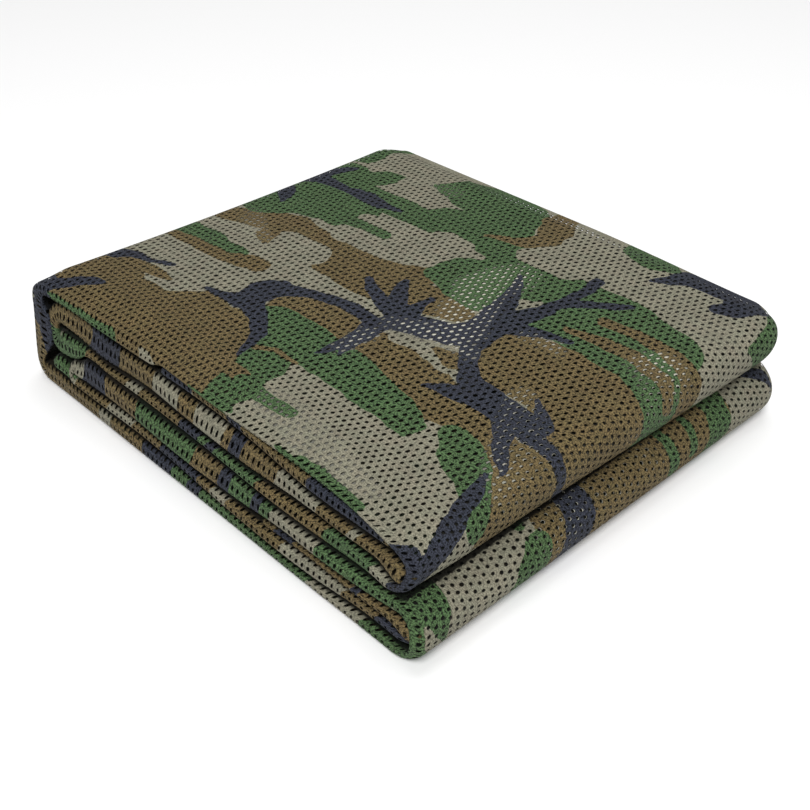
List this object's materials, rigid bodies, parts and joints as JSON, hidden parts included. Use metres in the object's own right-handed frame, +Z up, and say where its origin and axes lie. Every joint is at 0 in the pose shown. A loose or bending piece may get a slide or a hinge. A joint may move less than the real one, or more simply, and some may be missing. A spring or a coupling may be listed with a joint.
{
  "type": "folded camouflage net",
  "caption": "Length of printed camouflage mesh cloth, folded across and along into a soft, flat rectangular bundle.",
  "frame": {"origin": "middle of the folded bundle's underside, on the surface that it rests on", "axes": "+X from the spine fold to the two rolled folds, +Y from the side of the rounded outer folds to the side of the selvedges, +Z up"},
  "size_m": [0.334, 0.2918, 0.0674],
  "materials": {
    "camouflage_knit": "matte knitted polyester mesh with small staggered holes, printed in green, brown, khaki and dark blue-grey patches, paler on its reverse"
  },
  "bodies": {
    "root": {"net_cloth": "camouflage_knit"}
  },
  "joints": []
}
